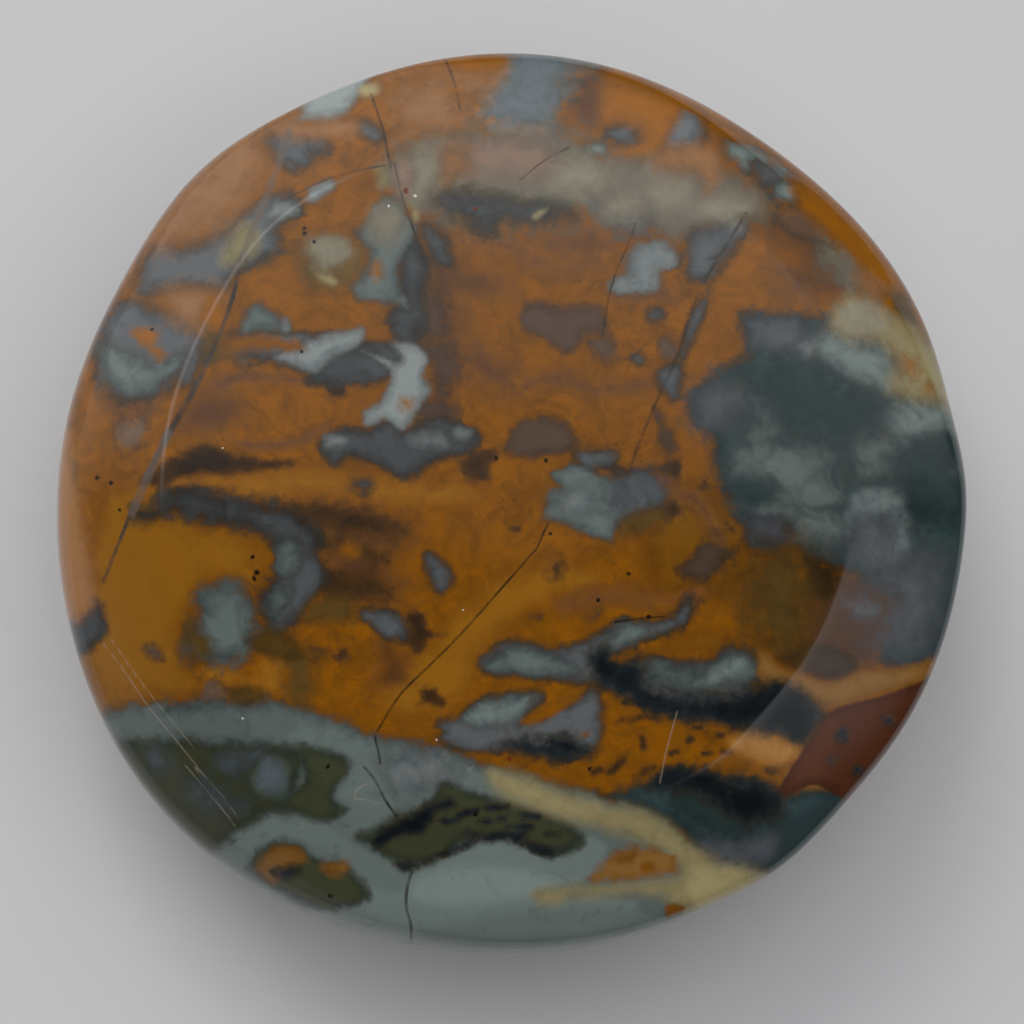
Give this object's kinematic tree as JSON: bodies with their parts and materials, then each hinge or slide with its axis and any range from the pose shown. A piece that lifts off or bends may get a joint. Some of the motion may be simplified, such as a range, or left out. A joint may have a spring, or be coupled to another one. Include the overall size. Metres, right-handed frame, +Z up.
{
  "type": "polished jasper palm stone",
  "caption": "Round polished palm stone of ochre and blue-grey morrisonite jasper, low-domed above and below, standing on a small flat spot.",
  "frame": {"origin": "centre of the flat spot that the stone stands on", "axes": "+Z up out of the stone's polished face, +X to the stone's right and +Y to its far side as the picture shows it"},
  "size_m": [0.0452, 0.0449, 0.014],
  "materials": {
    "jasper": "high polish; mottled ochre, blue-grey, sage green and cream, with a few hairline cracks"
  },
  "bodies": {
    "root": {"jasper_stone": "jasper"}
  },
  "joints": []
}
